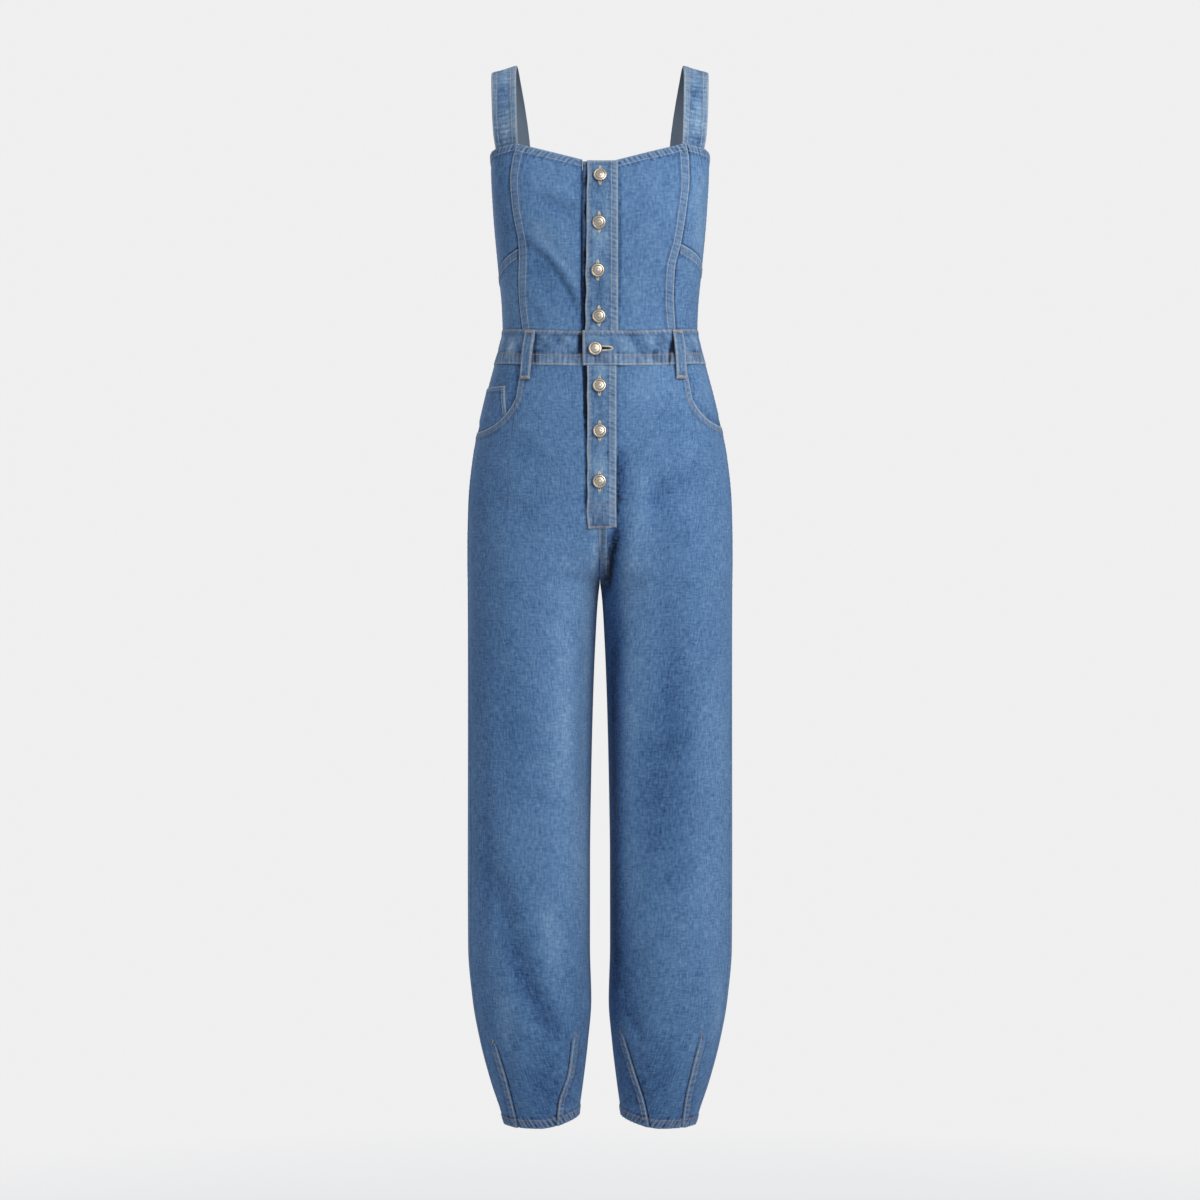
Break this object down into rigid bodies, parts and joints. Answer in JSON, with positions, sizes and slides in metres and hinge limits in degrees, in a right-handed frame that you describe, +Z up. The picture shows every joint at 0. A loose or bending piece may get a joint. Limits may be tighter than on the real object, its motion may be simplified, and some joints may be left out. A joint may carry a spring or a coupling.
{
  "type": "denim jumpsuit",
  "caption": "Filled-out denim jumpsuit with wide shoulder straps, princess-seamed bodice, button band and fly, waistband with loops, scooped pockets and legs darted in at the hems.",
  "frame": {"origin": "midway between the tops of the two shoulder straps, at their undersides, where the shoulders carry the garment", "axes": "+Z up, the front faces -Y, +X towards the wearer's left"},
  "size_m": [0.3364, 0.2393, 1.3415],
  "materials": {
    "denim_panels": "mid-blue stonewashed denim twill, matt",
    "denim_bands": "stonewashed denim, doubled and faded along its edges",
    "button_metal": "pale antique brass, satin"
  },
  "bodies": {
    "root": {"bodice_front_l": "denim_panels", "bodice_front_r": "denim_panels", "side_upper_l": "denim_panels", "side_upper_r": "denim_panels", "side_lower_l": "denim_panels", "side_lower_r": "denim_panels", "bodice_back": "denim_panels", "leg_front_l": "denim_panels", "leg_front_r": "denim_panels", "leg_back_l": "denim_panels", "leg_back_r": "denim_panels", "pocket_facing_l": "denim_panels", "pocket_facing_r": "denim_panels", "coin_pocket": "denim_panels", "strap_l": "denim_bands", "strap_r": "denim_bands", "placket_bodice": "denim_bands", "placket_under_bodice": "denim_bands", "waistband_l": "denim_bands", "waistband_r": "denim_bands", "waistband_back": "denim_bands", "fly_placket": "denim_bands", "fly_under": "denim_bands", "belt_loop_front_l": "denim_bands", "belt_loop_front_r": "denim_bands", "belt_loop_back_l": "denim_bands", "belt_loop_back_r": "denim_bands", "belt_loop_back_centre": "denim_bands", "button_1": "button_metal", "button_2": "button_metal", "button_3": "button_metal", "button_4": "button_metal", "button_5": "button_metal", "button_6": "button_metal", "button_7": "button_metal", "button_8": "button_metal"}
  },
  "joints": []
}
